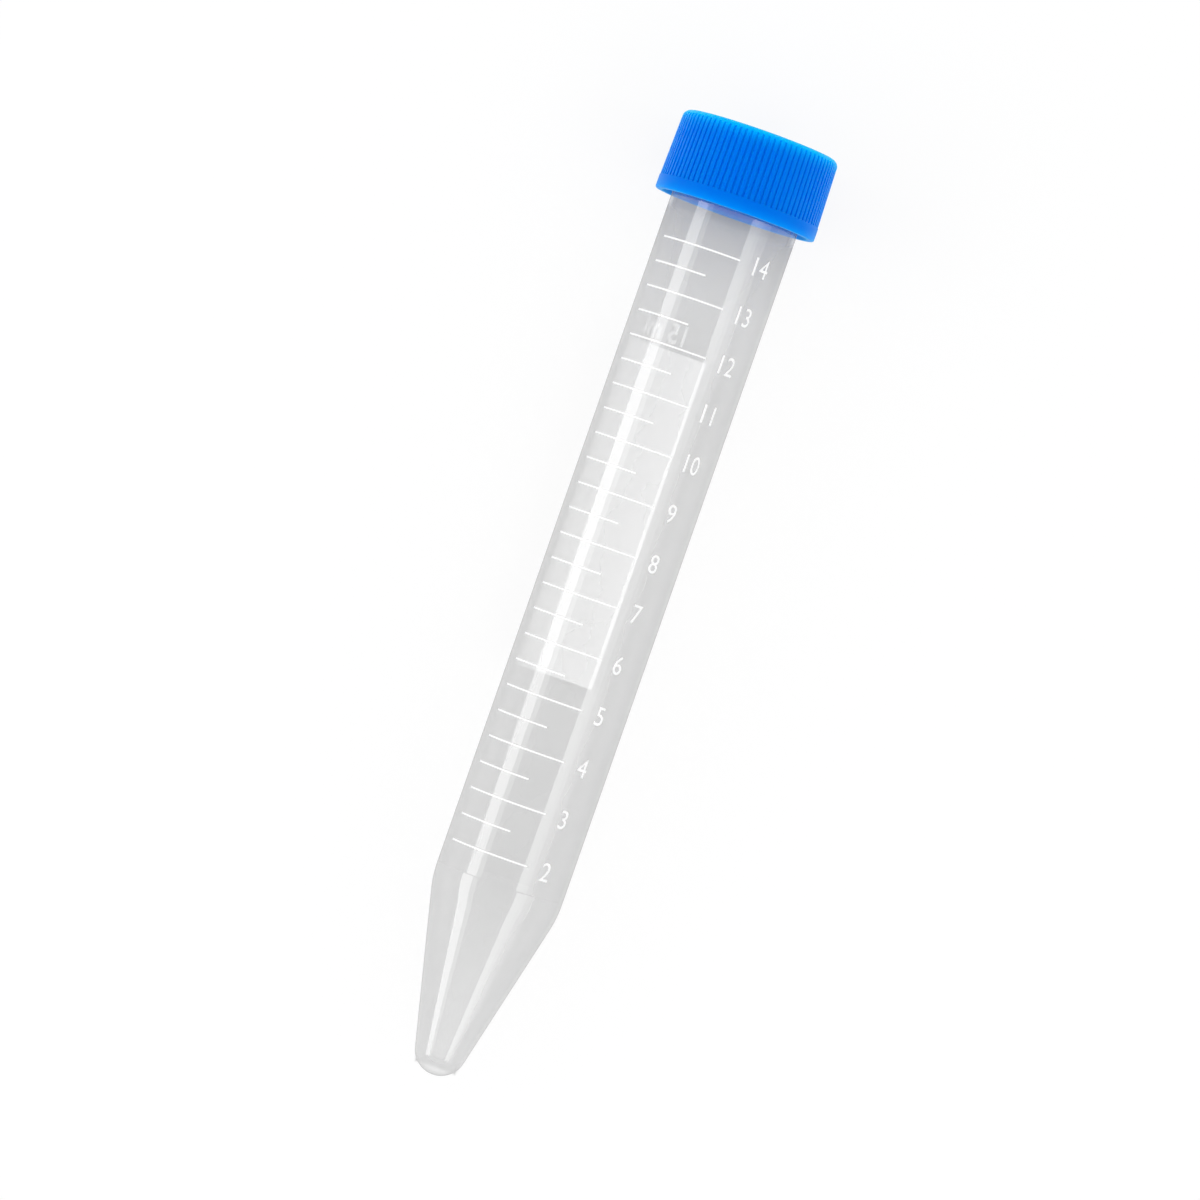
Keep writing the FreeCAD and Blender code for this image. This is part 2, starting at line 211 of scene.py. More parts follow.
def lathe(name: str, profile: list[Point], steps: int) -> bpy.types.Object:
    """Make a closed body of revolution, ring by ring, from one pole to the other.

    Args:
        name: The new object's name.
        profile: (radius, height) points. The first and the last are on the axis.
        steps: How many vertices each ring has.

    Returns:
        The new object, upright, with its faces outwards.
    """
    first_pole, rings, last_pole = profile[0], profile[1:-1], profile[-1]
    deselect()
    radius, height = rings[0]
    bpy.ops.mesh.primitive_circle_add(
        vertices=steps, radius=radius, location=(0, 0, height)
    )
    obj = bpy.context.object
    obj.name = obj.data.name = name
    settle()
    bpy.ops.object.mode_set(mode="EDIT")
    bpy.ops.mesh.select_mode(type="VERT")
    bpy.ops.mesh.select_all(action="SELECT")
    for next_radius, next_height in rings[1:]:
        bpy.ops.mesh.extrude_region_move(
            TRANSFORM_OT_translate={"value": (0, 0, next_height - height)}
        )
        share = next_radius / radius
        bpy.ops.transform.resize(
            value=(share, share, 1), center_override=(0, 0, next_height)
        )
        radius, height = next_radius, next_height
    close_pole(last_pole[1] - height)
    start_radius, start_height = rings[0]
    pick_verts(
        lambda place: abs(place.z - start_height) < NEAR
        and abs(place.xy.length - start_radius) < NEAR
    )
    close_pole(first_pole[1] - start_height)
    outward()
    bpy.ops.object.mode_set(mode="OBJECT")
    return obj


def close_pole(rise: float) -> None:
    """Close the selected ring with a fan of faces to a point on the axis.

    Args:
        rise: How far the point is above the ring.
    """
    bpy.ops.mesh.extrude_region_move(TRANSFORM_OT_translate={"value": (0, 0, rise)})
    bpy.ops.mesh.merge(type="CENTER")


@dataclass
class Ridge:
    """One helical ridge of a thread, with sloping flanks.

    Args:
        root: Distance of its rooted edge from the axis; below zero it starts at -X.
        crest: Distance of its crest from the axis, with the same sign.
        start: Height of the middle of its first section.
    """

    root: float
    crest: float
    start: float
    foot_width: float = 1.3
    crest_width: float = 0.7
    pitch: float = 3.0
    turns: float = 1.5
    steps: int = 144

    def build(self, name: str) -> bpy.types.Object:
        """Model the ridge as a closed body.

        Args:
            name: The new object's name.

        Returns:
            The ridge, upright.
        """
        deselect()
        middle, width = (self.root + self.crest) / 2, abs(self.crest - self.root)
        bpy.ops.mesh.primitive_plane_add(
            size=1, location=(middle, 0, self.start), rotation=(math.pi / 2, 0, 0)
        )
        obj = bpy.context.object
        obj.name = obj.data.name = name
        obj.scale = (width, self.foot_width, 1)
        settle()
        edit(obj)
        pick_verts(lambda place: abs(place.x - self.crest) < NEAR)
        bpy.ops.transform.resize(
            value=(1, 1, self.crest_width / self.foot_width),
            center_override=(self.crest, 0, self.start),
        )
        bpy.ops.mesh.select_all(action="SELECT")
        bpy.ops.mesh.delete(type="ONLY_FACE")
        bpy.ops.object.mode_set(mode="OBJECT")
        screw = obj.modifiers.new("turns", "SCREW")
        screw.angle = math.tau * self.turns
        screw.screw_offset = self.pitch * self.turns
        screw.steps = screw.render_steps = self.steps
        apply_modifiers(obj)
        edit(obj)
        bpy.ops.mesh.select_all(action="SELECT")
        bpy.ops.mesh.fill_holes(sides=4)
        outward()
        bpy.ops.object.mode_set(mode="OBJECT")
        return obj


def unite(obj: bpy.types.Object, other: bpy.types.Object) -> None:
    """Join a second closed body into the first, and remove the second.

    Args:
        obj: The body that stays.
        other: The body that is joined in.
    """
    union = obj.modifiers.new("union", "BOOLEAN")
    union.operation = "UNION"
    union.solver = "EXACT"
    union.object = other
    apply_modifiers(obj)
    bpy.data.objects.remove(other)


# ---------------- lying on the floor


@dataclass
class LyingPlace:
    """Where the upright pieces lie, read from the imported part's joints.

    Args:
        joints: The frame's joints.
    """

    joints: list[dict]

    @property
    def axis(self) -> Vector:
        """The tube's axis, from the tip to the cap."""
        return Vector(self.hinge["axis"]).normalized()

    @property
    def hinge(self) -> dict:
        """The joint that turns the cap."""
        return next(joint for joint in self.joints if joint["type"] == "hinge")

    @property
    def front(self) -> Vector:
        """The direction out of the graduated front."""
        return Vector((-self.axis.z, 0, self.axis.x))

    def matrix(self) -> Matrix:
        """The move from the upright millimetres to the frame.

        Returns:
            A matrix that turns, scales and places a piece.
        """
        side = self.axis.cross(self.front)
        turn = Matrix((self.front, side, self.axis)).transposed().to_4x4()
        seat = Vector(self.hinge["pos_m"])
        tip = seat - self.axis * SEAT_HEIGHT * METRE
        return Matrix.Translation(tip) @ turn @ Matrix.Scale(METRE, 4)

    def lay(self, obj: bpy.types.Object) -> None:
        """Lay a finished upright piece down, with its place in its mesh.

        Args:
            obj: The piece.
        """
        activate(obj)
        obj.matrix_world = self.matrix() @ obj.matrix_world
        settle()

    def point(self, across: float, side: float, height: float) -> Vector:
        """A point of the upright millimetres, in the frame.

        Args:
            across: Millimetres towards the graduated front.
            side: Millimetres to the side, where angles grow.
            height: Millimetres above the tip.

        Returns:
            The point in the frame's metres.
        """
        return self.matrix() @ Vector((across, side, height))


# ---------------- finishes


class Nodes:
    """A new material's node tree, with short ways to add and join nodes."""

    def __init__(self, name: str) -> None:
        """Start with an empty tree and its output.

        Args:
            name: The material's name.
        """
        self.material = bpy.data.materials.new(name)
        self.material.use_nodes = True
        self.tree = self.material.node_tree
        self.tree.nodes.clear()
        self.output = self.tree.nodes.new("ShaderNodeOutputMaterial")

    def add(
        self, kind: str, inputs: dict | None = None, **settings: str
    ) -> bpy.types.Node:
        """Add a node.

        Args:
            kind: The node's type without its "ShaderNode" prefix.
            inputs: Values or sockets for its inputs, by name or index.
            settings: Its other settings.

        Returns:
            The new node.
        """
        node = self.tree.nodes.new("ShaderNode" + kind)
        for name, value in settings.items():
            setattr(node, name, value)
        for key, value in (inputs or {}).items():
            if isinstance(value, Socket):
                self.tree.links.new(value, node.inputs[key])
            else:
                node.inputs[key].default_value = value
        return node

    def math(self, operation: str, *values: float | Socket) -> Socket:
        """Add a Math node.

        Args:
            operation: Its operation.
            values: Numbers or sockets for its inputs.

        Returns:
            Its result.
        """
        node = self.add("Math", dict(enumerate(values)), operation=operation)
        return node.outputs[0]

    def place(self, turn: float, stretch: Scale = (1.0, 1.0, 1.0)) -> Socket:
        """Object coordinates, turned onto the tube's axis and stretched.

        Args:
            turn: The axis's rise above the floor, in radians.
            stretch: Scale along the axis, across it and up.

        Returns:
            The coordinates.
        """
        source = self.add("TexCoord").outputs["Object"]
        node = self.add(
            "Mapping", {"Vector": source, "Rotation": (0, turn, 0), "Scale": stretch}
        )
        return node.outputs[0]

    def noise(self, place: Socket, scale: float, detail: float = 3.0) -> Socket:
        """Add a Noise texture.

        Args:
            place: Its coordinates.
            scale: Its scale, in waves a metre of those coordinates.
            detail: How many finer layers it has.

        Returns:
            Its grey value, from 0 to 1.
        """
        node = self.add("TexNoise", {"Vector": place, "Scale": scale, "Detail": detail})
        return node.outputs["Fac"]

    def ramp(
        self,
        value: Socket,
        start: float,
        end: float,
        low: float = 0.0,
        high: float = 1.0,
        shape: str = "LINEAR",
    ) -> Socket:
        """Turn one range of a value into another, held at both ends.

        Args:
            value: The value.
            start: Where the range starts; it may be above its end.
            end: Where the range ends.
            low: Result at the start.
            high: Result at the end.
            shape: How it gets from the one to the other.

        Returns:
            The result.
        """
        inputs = {"Value": value, "From Min": start, "From Max": end}
        inputs |= {"To Min": low, "To Max": high}
        return self.add("MapRange", inputs, interpolation_type=shape).outputs[0]

    def around(self, value: Socket, middle: float, reach: float) -> Socket:
        """Spread a value from 0 to 1 as far below a middle as above it.

        Args:
            value: The value.
            middle: Result at a half.
            reach: How far the result goes down at 0 and up at 1.

        Returns:
            The result.
        """
        return self.ramp(value, 0.0, 1.0, middle - reach, middle + reach)

    def mix(
        self, share: float | Socket, first: Colour | Socket, second: Colour | Socket
    ) -> Socket:
        """Mix two colours.

        Args:
            share: How much of the second there is.
            first: The first colour.
            second: The second colour.

        Returns:
            The mixed colour.
        """
        pair = [c if isinstance(c, Socket) else (*c, 1) for c in (first, second)]
        node = self.add("Mix", {0: share, 6: pair[0], 7: pair[1]}, data_type="RGBA")
        return node.outputs[2]

    def blend(
        self, share: float | Socket, first: bpy.types.Node, second: bpy.types.Node
    ) -> bpy.types.Node:
        """Blend two shaders.

        Args:
            share: How much of the second there is.
            first: The first shader.
            second: The second shader.

        Returns:
            The blended shader.
        """
        inputs = {0: share, 1: first.outputs[0], 2: second.outputs[0]}
        return self.add("MixShader", inputs)

    def bump(self, height: Socket, strength: float, distance: float) -> Socket:
        """Add a Bump node.

        Args:
            height: The height that it reads.
            strength: Its strength.
            distance: Its height, in metres.

        Returns:
            The normal.
        """
        node = self.add(
            "Bump", {"Height": height, "Strength": strength, "Distance": distance}
        )
        return node.outputs[0]

    def finish(self, shader: bpy.types.Node) -> bpy.types.Material:
        """Join a shader to the output.

        Args:
            shader: The last shader.

        Returns:
            The finished material.
        """
        self.tree.links.new(shader.outputs[0], self.output.inputs["Surface"])
        return self.material


@dataclass(frozen=True)
class CloudyPlastic:
    """Moulded polypropylene that shows what is behind it through a white haze."""

    name: str
    turn: float  # the axis's rise above the floor, in radians
    clear: float = 0.74  # share of the view that passes a face, seen straight on
    lit_clear: float = 0.96  # share of the lamps' light that passes it
    neck_clear: float = 0.93  # clear under the cap, where the neck's wall is thin
    neck: Span = (0.0478, 0.0491)  # where clear starts and ends turning into that
    dim: float = 0.30  # painted shade of the cap's shadow: how much darker the haze has become where the cap starts
    dim_start: float = 0.036  # where it starts to, in metres along the axis
    dim_power: float = 2.0
    haze: Colour = (0.93, 0.93, 0.93)  # its colour seen straight on
    edge_haze: Colour = (0.47, 0.47, 0.47)  # and seen along the face
    through: float = 0.15  # share of the haze that light from behind makes
    slant_limit: float = 0.05  # least cosine of the slant that the haze grows with
    index: float = 1.75
    roughness: float = 0.06
    uneven: float = 0.02  # how far the roughness varies
    mirror_limit: float = 0.10  # most that a face reflects
    flow_stretch: Scale = (0.04, 1.0, 1.0)  # flow lines run along the axis
    flow_scale: float = 260.0  # waves a metre, as for every scale below
    flow_strength: float = 0.014
    flow_depth: float = 0.00004
    mottle_scale: float = 160.0
    mottle_detail: float = 4.0
    mottle_reach: float = 0.015  # how far clear varies

    def build(self) -> bpy.types.Material:
        """Make the material.

        Returns:
            The material.
        """
        nodes = Nodes(self.name)
        place = nodes.place(self.turn)
        along = nodes.add("SeparateXYZ", {0: place}).outputs["X"]
        mottle = nodes.noise(place, self.mottle_scale, self.mottle_detail)
        flow = nodes.noise(nodes.place(self.turn, self.flow_stretch), self.flow_scale)
        normal = nodes.bump(flow, self.flow_strength, self.flow_depth)
        neck = nodes.ramp(along, *self.neck, self.clear, self.neck_clear, "SMOOTHSTEP")
        straight = nodes.math("ADD", neck, nodes.around(mottle, 0.0, self.mottle_reach))
        facing = nodes.add("LayerWeight", {"Blend": 0.5}).outputs["Facing"]
        slant = nodes.math(
            "MAXIMUM", nodes.math("SUBTRACT", 1.0, facing), self.slant_limit
        )
        clear = nodes.math("POWER", straight, nodes.math("DIVIDE", 1.0, slant))
        shadow = nodes.add("LightPath").outputs["Is Shadow Ray"]
        inputs = {"Factor": shadow, "A": clear, "B": self.lit_clear}
        passed = nodes.add("Mix", inputs, data_type="FLOAT").outputs[0]
        # painted shade: the haze is darkened towards the cap, for the shadow that the
        # cap casts on the barrel
        beside = nodes.math(
            "POWER", nodes.ramp(along, self.dim_start, self.neck[1]), self.dim_power
        )
        milk = nodes.mix(facing, self.haze, self.edge_haze)
        milk = nodes.mix(nodes.math("MULTIPLY", beside, self.dim), milk, (0, 0, 0))
        lit = nodes.add("BsdfDiffuse", {"Color": milk, "Normal": normal})
        glow = nodes.add("BsdfTranslucent", {"Color": milk, "Normal": normal})
        haze = nodes.blend(self.through, lit, glow)
        open_way = nodes.add("BsdfTransparent", {"Color": (1, 1, 1, 1)})
        wall = nodes.blend(passed, haze, open_way)
        satin = nodes.around(mottle, self.roughness, self.uneven)
        shine = nodes.add(
            "BsdfGlossy", {"Color": (1, 1, 1, 1), "Roughness": satin, "Normal": normal}
        )
        mirror = nodes.add("Fresnel", {"IOR": self.index, "Normal": normal}).outputs[0]
        behind = nodes.add("NewGeometry").outputs["Backfacing"]
        limit = nodes.math("SUBTRACT", self.mirror_limit, behind)
        mirror = nodes.math("MINIMUM", mirror, limit)
        return nodes.finish(nodes.blend(mirror, wall, shine))


@dataclass(frozen=True)
class SatinPlastic:
    """Coloured moulded plastic with a fine skin and a little depth."""

    name: str
    turn: float  # the axis's rise above the floor, in radians
    colour: Colour
    shade: Colour  # the colour where the plastic is darker
    roughness: float = 0.45
    uneven: float = 0.05  # how far the roughness varies
    specular: float = 0.12
    sheen: float = 0.2
    sheen_roughness: float = 0.35
    sheen_tint: Colour = (1.0, 1.0, 1.0)
    depth: float = 0.8
    depth_radius: Colour = (0.1, 0.6, 1.0)
    depth_scale: float = 0.0009
    cloud_scale: float = 220.0
    cloud_detail: float = 4.0
    skin_scale: float = 5200.0
    skin_detail: float = 2.0
    skin_strength: float = 0.25
    skin_depth: float = 0.00002
    edge: Colour | None = None  # painted glow at the thin edges, where light comes through, as a colour
    top: float = 0.0  # the edge at the top and the one at the foot, along X
    foot: float = 0.0
    lift: float = 0.0  # the axis above the origin, in turned coordinates
    rim: Span = (0.0072, 0.0094)  # distances from the axis where the top's rim grows
    head: Span = (0.0033, 0.0002)  # depths below the top where it grows
    head_power: float = 3.8
    base: float = 0.0014  # height of the rim at the foot
    base_power: float = 2.0
    base_share: float = 0.28

    def edges(self, nodes: Nodes, paint: Socket) -> Socket:
        """Paint a glow of light coming through the rims at the top and at the foot into
        a colour.

        Args:
            nodes: The material's nodes.
            paint: The colour away from the rims.

        Returns:
            The colour with the painted glow at the rims.
        """
        along, side, up = nodes.add("SeparateXYZ", {0: nodes.place(self.turn)}).outputs
        rise = nodes.math("SUBTRACT", up, self.lift)
        square = nodes.math("MULTIPLY", side, side)
        square = nodes.math("MULTIPLY_ADD", rise, rise, square)
        rim = nodes.ramp(nodes.math("SQRT", square), *self.rim)
        head = nodes.ramp(along, self.top - self.head[0], self.top - self.head[1])
        base = nodes.ramp(along, self.foot + self.base, self.foot)
        high = nodes.math("MULTIPLY", nodes.math("POWER", head, self.head_power), rim)
        low = nodes.math("POWER", base, self.base_power)
        low = nodes.math("MULTIPLY", low, self.base_share)
        return nodes.mix(nodes.math("MAXIMUM", high, low), paint, self.edge)

    def build(self) -> bpy.types.Material:
        """Make the material.

        Returns:
            The material.
        """
        nodes = Nodes(self.name)
        place = nodes.place(self.turn)
        cloud = nodes.noise(place, self.cloud_scale, self.cloud_detail)
        skin = nodes.noise(place, self.skin_scale, self.skin_detail)
        tint = nodes.mix(cloud, self.shade, self.colour)
        # painted glow of light coming through the thin rims
        if self.edge is not None:
            tint = self.edges(nodes, tint)
        inputs = {
            "Base Color": tint,
            "Roughness": nodes.around(cloud, self.roughness, self.uneven),
            "Specular IOR Level": self.specular,
            "Specular Tint": (*self.sheen_tint, 1),
            "Sheen Weight": self.sheen,
            "Sheen Roughness": self.sheen_roughness,
            "Sheen Tint": (*self.sheen_tint, 1),
            "Subsurface Weight": self.depth,
            "Subsurface Radius": self.depth_radius,
            "Subsurface Scale": self.depth_scale,
            "Normal": nodes.bump(skin, self.skin_strength, self.skin_depth),
        }
        return nodes.finish(nodes.add("BsdfPrincipled", inputs))


@dataclass(frozen=True)
class PrintedInk:
    """White screen-printed ink with slightly uneven cover."""

    name: str
    turn: float  # the axis's rise above the floor, in radians
    colour: Colour = (0.97, 0.97, 0.97)
    thin: Colour = (0.91, 0.91, 0.91)  # the colour where the cover is thin
    through: float = 0.1  # share of its light that comes from behind
    roughness: float = 0.5
    uneven: float = 0.08  # how far the roughness varies
    specular: float = 0.3
    cover_scale: float = 900.0
    cover_detail: float = 4.0
    grain_scale: float = 9000.0
    grain_detail: float = 2.0
    grain_strength: float = 0.2
    grain_depth: float = 0.00001

    def build(self) -> bpy.types.Material:
        """Make the material.

        Returns:
            The material.
        """
        nodes = Nodes(self.name)
        place = nodes.place(self.turn)
        cover = nodes.noise(place, self.cover_scale, self.cover_detail)
        grain = nodes.noise(place, self.grain_scale, self.grain_detail)
        tint = nodes.mix(cover, self.thin, self.colour)
        inputs = {
            "Base Color": tint,
            "Roughness": nodes.around(cover, self.roughness, self.uneven),
            "Specular IOR Level": self.specular,
            "Normal": nodes.bump(grain, self.grain_strength, self.grain_depth),
        }
        face = nodes.add("BsdfPrincipled", inputs)
        glow = nodes.add("BsdfTranslucent", {"Color": tint})
        return nodes.finish(nodes.blend(self.through, face, glow))


@dataclass(frozen=True)
class StudioWhite:
    """The floor: pale paint that lights the tube, and a backdrop's white to the eye.

    Under the tube the paint is darker, as a painted shadow, and has none of the
    backdrop's white, so that the tube looks grey against the floor beside it.
    """

    name: str
    tip: float  # where the tube's tip is, in metres along the floor
    colour: Colour = (0.85, 0.85, 0.85)
    shaded: Colour = (0.43, 0.43, 0.43)  # the painted shadow under the tube
    glow: float = 0.85  # share of what the eye sees that is the backdrop's own white
    tip_width: float = 0.0028  # half the painted shadow's width at the tip
    spread: float = 0.236  # how much it grows a metre, along the cone
    width: float = 0.0081  # half its width beside the barrel
    length: float = 0.112
    fade: float = 0.0006  # width of its soft edge

    def under_tube(self, nodes: Nodes) -> Socket:
        """How far a place on the floor is in the painted shadow under the tube.

        Args:
            nodes: The floor's nodes.

        Returns:
            A value from 0 beside the tube to 1 under it.
        """
        place = nodes.add("TexCoord").outputs["Object"]
        split = nodes.add("SeparateXYZ", {0: place}).outputs
        along = nodes.math("SUBTRACT", split["X"], self.tip)
        cone = nodes.math("MULTIPLY_ADD", along, self.spread, self.tip_width)
        half = nodes.math("MINIMUM", cone, self.width)
        inward = nodes.math("SUBTRACT", half, nodes.math("ABSOLUTE", split["Y"]))
        ends = nodes.math("MINIMUM", along, nodes.math("SUBTRACT", self.length, along))
        depth = nodes.math("MINIMUM", inward, ends)
        return nodes.ramp(depth, 0.0, self.fade, shape="SMOOTHSTEP")

    def build(self) -> bpy.types.Material:
        """Make the material.

        Returns:
            The material.
        """
        nodes = Nodes(self.name)
        rays = nodes.add("LightPath").outputs
        seen = nodes.math("MAXIMUM", rays["Is Glossy Ray"], rays["Is Transmission Ray"])
        seen = nodes.math("MAXIMUM", rays["Is Camera Ray"], seen)
        under = self.under_tube(nodes)
        # painted shadow: the paint is darker under the tube
        tint = nodes.mix(under, self.colour, self.shaded)
        paint = nodes.add("BsdfDiffuse", {"Color": tint})
        glow = nodes.add("Emission", {"Color": (1, 1, 1, 1), "Strength": 1.0})
        # the backdrop's white fades out in the painted shadow
        share = nodes.math("MULTIPLY", seen, self.glow)
        share = nodes.math("MULTIPLY", share, nodes.math("SUBTRACT", 1.0, under))
        return nodes.finish(nodes.blend(share, paint, glow))


def dress(obj: bpy.types.Object, material: bpy.types.Material) -> None:
    """Give a piece one material.

    Args:
        obj: The piece or CAD node.
        material: Its material.
    """
    obj.data.materials.clear()
    obj.data.materials.append(material)


# ---------------- tube


@dataclass
class TubeShell:
    """The moulded tube: cone, barrel and threaded neck, hollow with a solid tip."""

    length: float = 118.0
    barrel_radius: float = 7.99  # just inside the printed layer
    barrel_top: float = 109.45
    neck_rim_radius: float = 7.88
    rim_round: float = 0.25
    bore_radius: float = 7.24
    shoulder_bore: float = 6.90
    shoulder_height: float = 22.8
    shoulder_round: float = 14.0
    parting_height: float = 24.8
    parting_depth: float = 0.03
    parting_width: float = 0.16
    tip_radius: float = 3.2
    tip_wall: float = 1.9
    tip_hollow_radius: float = 1.4
    steps: int = 160
    tip_steps: int = 14
    hollow_steps: int = 12
    shoulder_steps: int = 8
    rim_steps: int = 4
    bottom_slope: float = 0.5  # least upward part of a normal at the hollow's bottom
    smooth_angle: float = 35.0
    thread: Ridge = field(default_factory=lambda: Ridge(7.68, 8.6, 111.45))

    def cone_angle(self, corner: Point, radius: float, centre: float) -> float:
        """Half angle of a cone through a corner that is tangent to a ball.

        Args:
            corner: The corner, as (radius, height).
            radius: The ball's radius.
            centre: The ball's height on the axis.

        Returns:
            The half angle in degrees.
        """
        reach = math.hypot(corner[0], corner[1] - centre)
        lean = math.atan2(corner[0], corner[1] - centre)
        return math.degrees(lean - math.asin(radius / reach))

    def outside(self) -> list[Point]:
        """The outer half section, from the tip's pole up to the rim."""
        corner = (self.barrel_radius, self.shoulder_height)
        half = self.cone_angle(corner, self.tip_radius, self.tip_radius)
        ball = arc((0, self.tip_radius), self.tip_radius, -90, -half, self.tip_steps)
        round_height = self.shoulder_height + self.shoulder_round * math.tan(
            math.radians(half / 2)
        )
        shoulder = arc(
            (self.barrel_radius - self.shoulder_round, round_height),
            self.shoulder_round, -half, 0, self.shoulder_steps,
        )
        step = self.parting_width / 2
        parting = [
            (self.barrel_radius, self.parting_height - step),
            (self.barrel_radius - self.parting_depth, self.parting_height - step / 3),
            (self.barrel_radius - self.parting_depth, self.parting_height + step / 3),
            (self.barrel_radius, self.parting_height + step),
        ]
        neck = [(self.barrel_radius, self.barrel_top)]
        rim = arc(
            (self.neck_rim_radius - self.rim_round, self.length - self.rim_round),
            self.rim_round, 0, 90, self.rim_steps,
        )
        return ball + shoulder + parting + neck + rim

    def inside(self) -> list[Point]:
        """The bore's half section, from the rim down to the hollow tip's pole."""
        rim = arc(
            (self.bore_radius + self.rim_round, self.length - self.rim_round),
            self.rim_round, 90, 180, self.rim_steps,
        )
        corner = (self.shoulder_bore, self.shoulder_height)
        centre = self.tip_wall + self.tip_hollow_radius
        half = self.cone_angle(corner, self.tip_hollow_radius, centre)
        ball = arc((0, centre), self.tip_hollow_radius, -half, -90, self.hollow_steps)
        return rim + [corner] + ball

    def build(
        self, outer: bpy.types.Material, bore: bpy.types.Material
    ) -> bpy.types.Object:
        """Model and dress the tube.

        Args:
            outer: The material of its outside.
            bore: The material of its bore, which adds little to the haze.

        Returns:
            The tube, upright.
        """
        shell = lathe("tube_shell", self.outside() + self.inside(), self.steps)
        unite(shell, self.thread.build("neck_thread"))
        smooth(shell, self.smooth_angle)
        dress(shell, outer)
        shell.data.materials.append(bore)
        for face in shell.data.polygons:
            facing_out = face.normal.x * face.center.x + face.normal.y * face.center.y
            bottom = face.normal.z > self.bottom_slope
            if facing_out < -TINY or bottom and face.center.z < self.shoulder_height:
                face.material_index = 1
        return shell


# ---------------- cap


@dataclass
class ScrewCap:
    """The ribbed cap: plain band, grip ribs, rounded top, threaded inside."""

    height: float = 10.15
    ceiling: float = 1.2
    bore: float = 8.8
    mouth: float = 9.2
    mouth_height: float = 0.4
    band_radius: float = 10.13
    band_height: float = 1.7
    band_round: float = 0.25
    rib_radius: float = 10.07
    top_radius: float = 9.85
    top_round: float = 0.9
    groove_end: float = 9.65
    groove_depth: float = 0.14
    grooves: int = 86
    steps_per_groove: int = 5
    groove_steps: int = 2
    band_steps: int = 4
    edge_steps: int = 3
    top_steps: int = 5
    soft_edge: float = 0.05
    bevel_segments: int = 2
    bevel_angle: float = 35.0
    smooth_angle: float = 40.0
    gate_radius: float = 0.8
    gate_lip: float = 0.15
    gate_dot: float = 0.25
    gate_depth: float = 0.12
    thread: Ridge = field(default_factory=lambda: Ridge(-9.0, -8.2, 1.4))

    @property
    def steps(self) -> int:
        """Vertices in each ring of the cap."""
        return self.grooves * self.steps_per_groove

    def section(self) -> list[Point]:
        """The half section, from the ceiling's pole out, round and up to the top's."""
        groove_angle = math.degrees(
            math.asin((self.groove_end - self.height + self.top_round) / self.top_round)
        )
        centre = (self.top_radius - self.top_round, self.height - self.top_round)
        inside_height = self.height - self.ceiling
        inner = [
            (0, inside_height),
            (self.bore / 2, inside_height),
            (self.bore, inside_height),
            (self.bore, self.mouth_height),
            (self.mouth, 0),
        ]
        foot = arc(
            (self.band_radius - self.band_round, self.band_round),
            self.band_round, -90, 0, self.band_steps,
        )
        band = [
            (self.band_radius, self.band_height),
            (self.rib_radius, self.band_height),
        ]
        edge = arc(centre, self.top_round, 0, groove_angle, self.edge_steps)
        edge += arc(centre, self.top_round, groove_angle, 90, self.top_steps)[1:]
        gate = [
            (self.gate_radius + self.gate_lip, self.height),
            (self.gate_radius, self.height - self.gate_depth),
            (self.gate_dot, self.height - self.gate_depth),
            (0, self.height - self.gate_depth),
        ]
        flat = [(centre[0] / 2, self.height)]
        return inner + foot + band + edge + flat + gate

    def in_groove(self, place: Vector) -> bool:
        """Whether a face's centre lies in one of the grooves.

        Args:
            place: The face's centre, with the cap's lower edge at height 0.

        Returns:
            True inside a groove.
        """
        if not self.band_height < place.z < self.groove_end:
            return False
        if place.xy.length < (self.bore + self.top_radius) / 2:
            return False
        turn = math.atan2(place.x, place.y) % math.tau
        step = int(turn / (math.tau / self.steps))
        return step % self.steps_per_groove < self.groove_steps

    def build(self, plastic: bpy.types.Material) -> bpy.types.Object:
        """Model and dress the cap.

        Args:
            plastic: Its material.

        Returns:
            The cap, upright and in its place on the tube.
        """
        shell = lathe("cap_shell", self.section(), self.steps)
        edit(shell)
        pick_faces(self.in_groove)
        bpy.ops.mesh.extrude_region_shrink_fatten(
            TRANSFORM_OT_shrink_fatten={"value": -self.groove_depth}
        )
        bpy.ops.object.mode_set(mode="OBJECT")
        bevel = shell.modifiers.new("soft_edges", "BEVEL")
        bevel.width = self.soft_edge
        bevel.segments = self.bevel_segments
        bevel.limit_method = "ANGLE"
        bevel.angle_limit = math.radians(self.bevel_angle)
        apply_modifiers(shell)
        unite(shell, self.thread.build("cap_thread"))
        shell.location = (0, 0, SEAT_HEIGHT)
        settle()
        smooth(shell, self.smooth_angle)
        dress(shell, plastic)
        return shell


# ---------------- print


